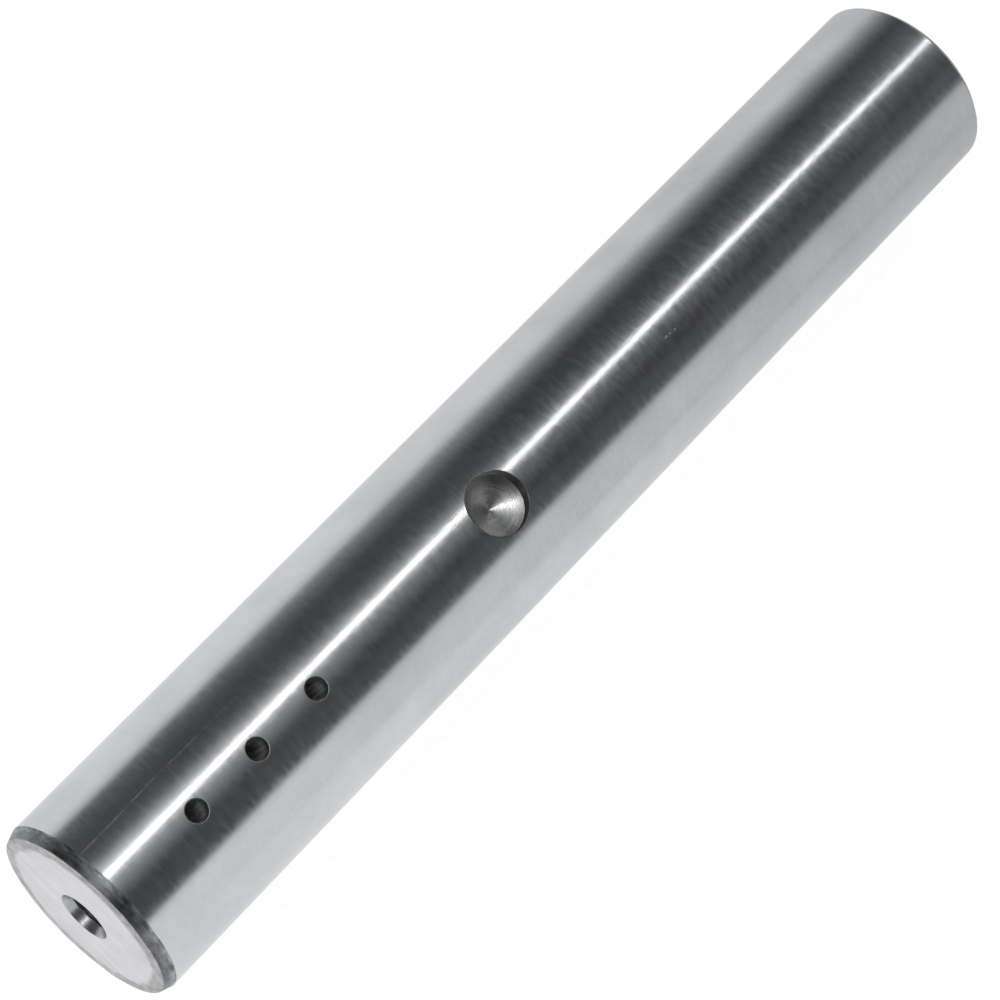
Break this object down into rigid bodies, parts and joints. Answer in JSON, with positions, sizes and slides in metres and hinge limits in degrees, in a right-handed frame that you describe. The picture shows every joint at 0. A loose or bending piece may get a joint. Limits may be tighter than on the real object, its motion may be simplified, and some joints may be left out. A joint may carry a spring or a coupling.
{
  "type": "forklift kingpin",
  "caption": "Ground steel steering kingpin with a grease port in one end, radial grease holes and a blind seat for a lock bolt.",
  "frame": {"origin": "on the pin's axis, half way between its end faces", "axes": "+X along the pin, from the grease port's end to the plain end; +Z out of the lock seat and the grease holes"},
  "size_m": [0.186, 0.03, 0.03],
  "materials": {
    "ground_steel": "cylindrically ground, bright"
  },
  "bodies": {
    "root": {"kingpin": "ground_steel"}
  },
  "joints": []
}
